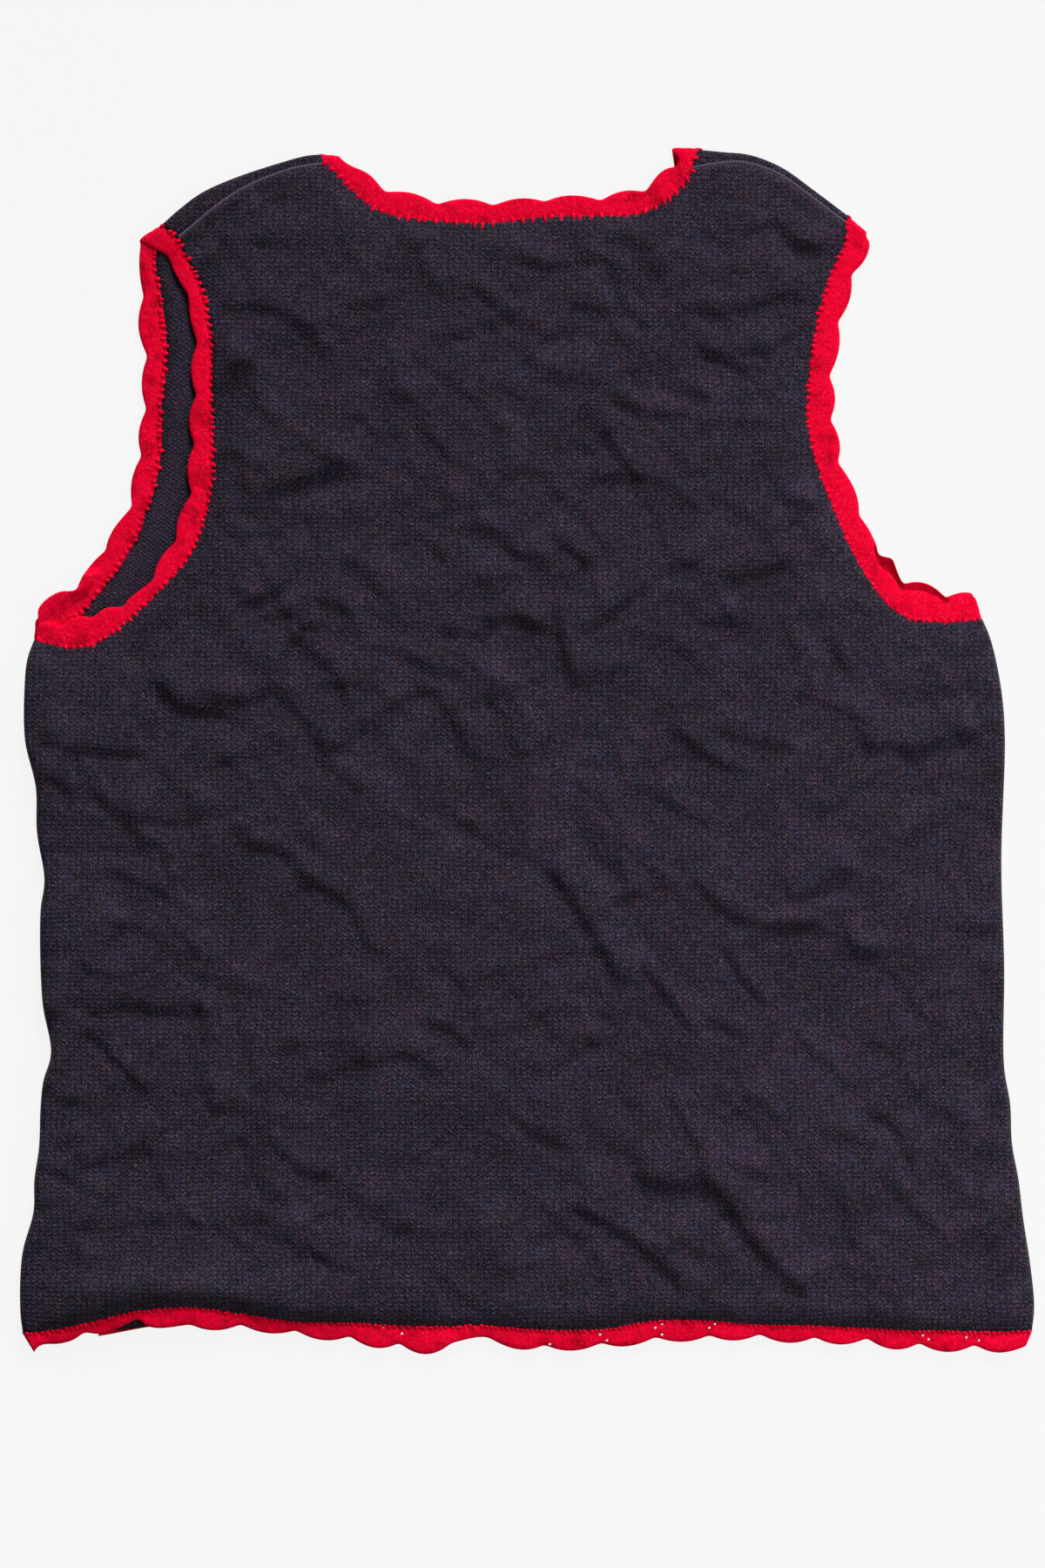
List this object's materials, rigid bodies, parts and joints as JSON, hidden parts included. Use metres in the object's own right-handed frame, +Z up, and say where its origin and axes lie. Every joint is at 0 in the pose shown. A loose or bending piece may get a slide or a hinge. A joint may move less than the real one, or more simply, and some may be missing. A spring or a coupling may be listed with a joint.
{
  "type": "knitted vest",
  "caption": "Sleeveless knitted vest with a scoop back neck and crocheted scallop edging round neck, armholes and hem, laid flat with its back up.",
  "frame": {"origin": "on the surface that the vest lies on, below the middle of its laid outline", "axes": "+Z up off the surface, out of the back of the vest; +Y towards the neck; +X to the right of the laid vest"},
  "size_m": [0.5251, 0.6231, 0.0091],
  "materials": {
    "knit": "matt machine-knitted stockinette, dark plum navy",
    "crochet": "brushed red crochet with a short fuzz"
  },
  "bodies": {
    "root": {"back_panel": "knit", "front_panel": "knit", "neck_edging": "crochet", "armhole_edging_left": "crochet", "armhole_edging_right": "crochet", "hem_edging_back": "crochet", "hem_edging_front_left": "crochet", "hem_edging_front_tucked": "crochet", "hem_edging_front_right": "crochet"}
  },
  "joints": []
}
